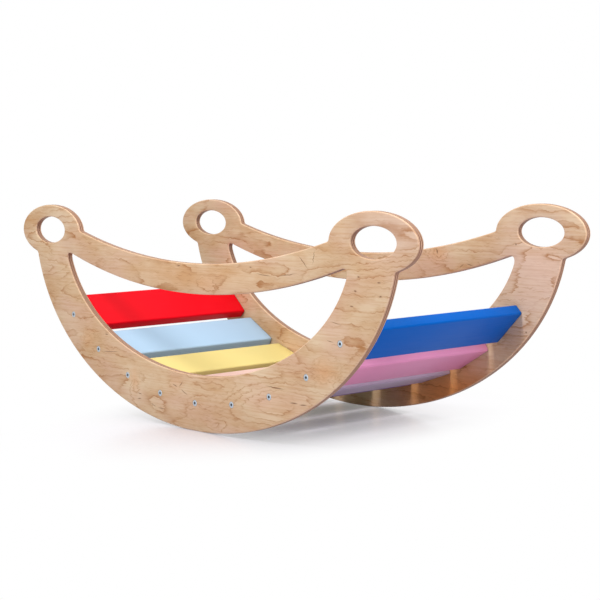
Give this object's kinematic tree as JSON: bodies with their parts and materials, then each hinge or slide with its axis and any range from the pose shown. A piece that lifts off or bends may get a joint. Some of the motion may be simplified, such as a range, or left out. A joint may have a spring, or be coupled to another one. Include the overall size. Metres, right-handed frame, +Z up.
{
  "type": "climbing arch",
  "caption": "Child's rocking and climbing arch: two plywood rocker sides with oval ring handles and a sagging crossbar, joined by painted wooden slats.",
  "frame": {"origin": "on the floor under the middle of the rockers, halfway between the two sides", "axes": "+X along the length, to the right seen from the front side, which lies towards -Y; +Z up, with the ring handles at the top"},
  "size_m": [1.2592, 0.48, 0.4552],
  "materials": {
    "birch_ply": "clear satin varnish",
    "beech": "bare",
    "zinc_screw": "zinc plated",
    "red_paint": "satin paint",
    "light_blue_paint": "satin paint",
    "yellow_paint": "satin paint",
    "pale_pink_paint": "satin paint",
    "green_paint": "satin paint",
    "purple_paint": "satin paint",
    "lilac_paint": "satin paint",
    "pink_paint": "satin paint",
    "blue_paint": "satin paint"
  },
  "bodies": {
    "root": {"front_side": "birch_ply", "back_side": "birch_ply", "slat_1_red": "red_paint", "slat_2_light_blue": "light_blue_paint", "slat_3_yellow": "yellow_paint", "slat_4_pale_pink": "pale_pink_paint", "slat_5_green": "green_paint", "slat_6_purple": "purple_paint", "slat_7_lilac": "lilac_paint", "slat_8_pink": "pink_paint", "slat_9_blue": "blue_paint", "screw_front_1": "zinc_screw", "screw_front_2": "zinc_screw", "screw_front_3": "zinc_screw", "screw_front_4": "zinc_screw", "screw_front_5": "zinc_screw", "screw_front_6": "zinc_screw", "screw_front_7": "zinc_screw", "screw_front_8": "zinc_screw", "screw_front_9": "zinc_screw", "screw_back_1": "zinc_screw", "screw_back_2": "zinc_screw", "screw_back_3": "zinc_screw", "screw_back_4": "zinc_screw", "screw_back_5": "zinc_screw", "screw_back_6": "zinc_screw", "screw_back_7": "zinc_screw", "screw_back_8": "zinc_screw", "screw_back_9": "zinc_screw", "dowel_front_1": "beech", "dowel_front_2": "beech", "dowel_front_3": "beech", "dowel_front_4": "beech", "dowel_front_5": "beech", "dowel_front_6": "beech", "dowel_front_7": "beech", "dowel_front_8": "beech", "dowel_front_9": "beech", "dowel_back_1": "beech", "dowel_back_2": "beech", "dowel_back_3": "beech", "dowel_back_4": "beech", "dowel_back_5": "beech", "dowel_back_6": "beech", "dowel_back_7": "beech", "dowel_back_8": "beech", "dowel_back_9": "beech"}
  },
  "joints": []
}
